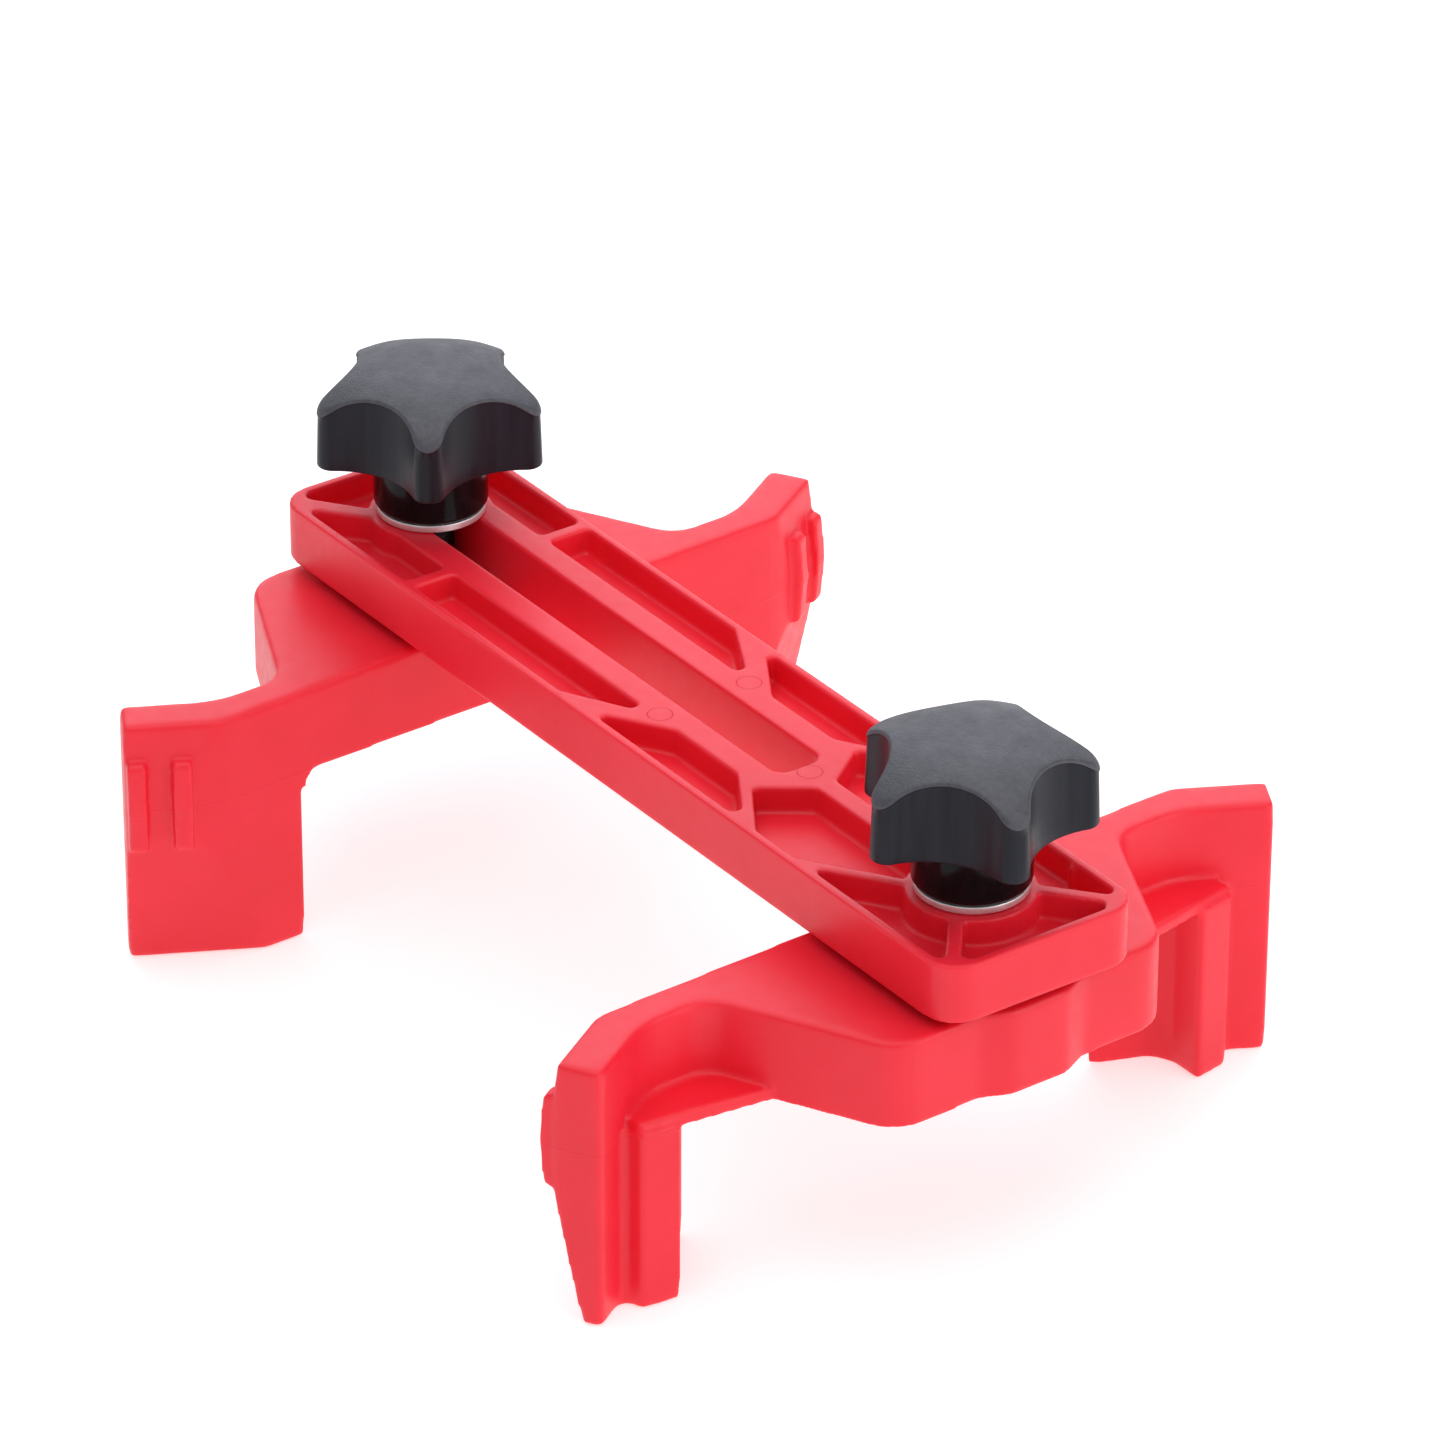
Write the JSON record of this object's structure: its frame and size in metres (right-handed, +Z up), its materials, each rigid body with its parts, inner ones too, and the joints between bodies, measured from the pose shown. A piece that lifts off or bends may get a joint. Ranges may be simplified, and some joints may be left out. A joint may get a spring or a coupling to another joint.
{
  "type": "wheel clamp",
  "caption": "Hand clamp that locks two toothed timing wheels: slotted plastic bar, sliding long-armed jaws under it, and star knobs on top.",
  "frame": {"origin": "middle of the footprint, on the surface that the legs stand on", "axes": "+X along the slotted bar, from the sliding jaw towards the fixed jaw; +Z up, from the leg feet towards the knobs"},
  "size_m": [0.1926, 0.1484, 0.0871],
  "materials": {
    "red_plastic": "satin moulded nylon",
    "black_plastic": "fine textured moulded plastic",
    "zinc_steel": "bright zinc plated",
    "black_steel": "black oxide",
    "insert_brass": "turned"
  },
  "bodies": {
    "bar": {"slotted_bar": "red_plastic", "near_knob_washer": "zinc_steel"},
    "near_knob": {"near_knob_grip": "black_plastic", "near_knob_insert": "insert_brass"},
    "near_spacer": {"near_spacer_washer": "zinc_steel"},
    "near_jaw": {"near_jaw": "red_plastic", "near_bolt": "black_steel"},
    "far_washer": {"far_knob_washer": "zinc_steel"},
    "far_knob": {"far_knob_grip": "black_plastic", "far_knob_insert": "insert_brass"},
    "far_spacer": {"far_spacer_washer": "zinc_steel"},
    "far_jaw": {"far_jaw": "red_plastic", "far_bolt": "black_steel"}
  },
  "joints": [
    {"name": "far_slide", "type": "slide", "parent": "bar", "child": "far_washer", "axis": [1, 0, 0], "range_m": [0, 0.103]},
    {"name": "near_knob_turn", "type": "hinge", "parent": "bar", "child": "near_knob", "pos_m": [0.0768, -0.00002, 0.0478], "axis": [0, 0, 1], "range_deg": [0, 720]},
    {"name": "near_release", "type": "slide", "parent": "bar", "child": "near_spacer", "axis": [0, 0, -1], "range_m": [0, 0.0025]},
    {"name": "near_jaw_swing", "type": "hinge", "parent": "near_spacer", "child": "near_jaw", "pos_m": [0.0768, -0.00002, 0.0478], "axis": [0, 0, 1], "continuous": true},
    {"name": "far_knob_turn", "type": "hinge", "parent": "far_washer", "child": "far_knob", "pos_m": [-0.0763, -0.00002, 0.0478], "axis": [0, 0, 1], "range_deg": [0, 720]},
    {"name": "far_release", "type": "slide", "parent": "far_washer", "child": "far_spacer", "axis": [0, 0, -1], "range_m": [0, 0.0025]},
    {"name": "far_jaw_swing", "type": "hinge", "parent": "far_spacer", "child": "far_jaw", "pos_m": [-0.0763, -0.00002, 0.0478], "axis": [0, 0, 1], "continuous": true}
  ],
  "couplings": [
    {"joint": "near_knob_turn", "follows": "near_release", "rad_per_m": 5026.5},
    {"joint": "far_knob_turn", "follows": "far_release", "rad_per_m": 5026.5}
  ]
}
